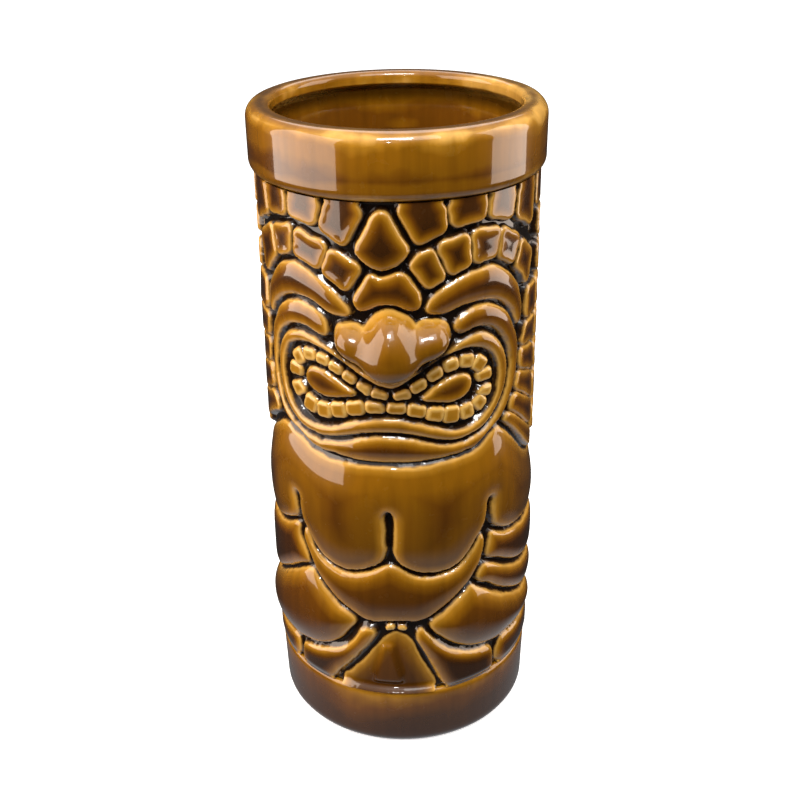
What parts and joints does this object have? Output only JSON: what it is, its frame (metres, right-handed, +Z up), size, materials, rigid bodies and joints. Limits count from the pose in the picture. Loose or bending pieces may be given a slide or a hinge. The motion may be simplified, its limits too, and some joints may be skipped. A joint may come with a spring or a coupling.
{
  "type": "tiki mug",
  "caption": "Tall cylindrical drinking mug of glazed ceramic with a smooth collar at the mouth, a plain foot and a carved figure with a wide snarling mouth on its front.",
  "frame": {"origin": "centre of the foot ring, on the surface that the mug stands on", "axes": "+Z up along the mug's axis, the carved face looks along -Y, +X to the viewer's right"},
  "size_m": [0.077, 0.0792, 0.17],
  "materials": {
    "wall_glaze": "gloss, dark brown where the glaze pools in the grooves, amber inside the cup",
    "relief_glaze": "gloss, amber brown that breaks to gold along the edges",
    "band_glaze": "gloss, amber and dark brown brushed streaks",
    "tooth_glaze": "gloss, thin pale gold glaze"
  },
  "bodies": {
    "root": {"apron": "relief_glaze", "back_hair_row_1": "relief_glaze", "back_hair_row_2": "relief_glaze", "back_hair_row_3": "relief_glaze", "back_hair_row_4": "relief_glaze", "back_hair_row_5": "relief_glaze", "back_hair_row_6": "relief_glaze", "back_hair_row_7": "relief_glaze", "back_left": "relief_glaze", "back_right": "relief_glaze", "base_plinth": "band_glaze", "belly": "relief_glaze", "belt_tabs": "tooth_glaze", "bridge_plate": "relief_glaze", "brow_roll_left": "relief_glaze", "brow_roll_right": "relief_glaze", "brow_tiles_left": "relief_glaze", "brow_tiles_right": "relief_glaze", "cheek_roll_left": "relief_glaze", "cheek_roll_right": "relief_glaze", "chest": "relief_glaze", "chin": "relief_glaze", "crown_tiles_back": "relief_glaze", "crown_tiles_front": "relief_glaze", "fist_left": "relief_glaze", "fist_right": "relief_glaze", "forearm_left": "relief_glaze", "forearm_right_lower": "relief_glaze", "forearm_right_upper": "relief_glaze", "forehead_gem": "relief_glaze", "hip_left": "relief_glaze", "hip_right": "relief_glaze", "leg_left": "relief_glaze", "leg_right": "relief_glaze", "lip_ring": "relief_glaze", "lower_teeth": "tooth_glaze", "mouth_lobe_left": "relief_glaze", "mouth_lobe_right": "relief_glaze", "nose_bulb": "relief_glaze", "nostril_left": "relief_glaze", "nostril_right": "relief_glaze", "rim_band": "band_glaze", "side_locks_left": "relief_glaze", "side_locks_right": "relief_glaze", "upper_teeth": "tooth_glaze", "vessel": "wall_glaze"}
  },
  "joints": []
}
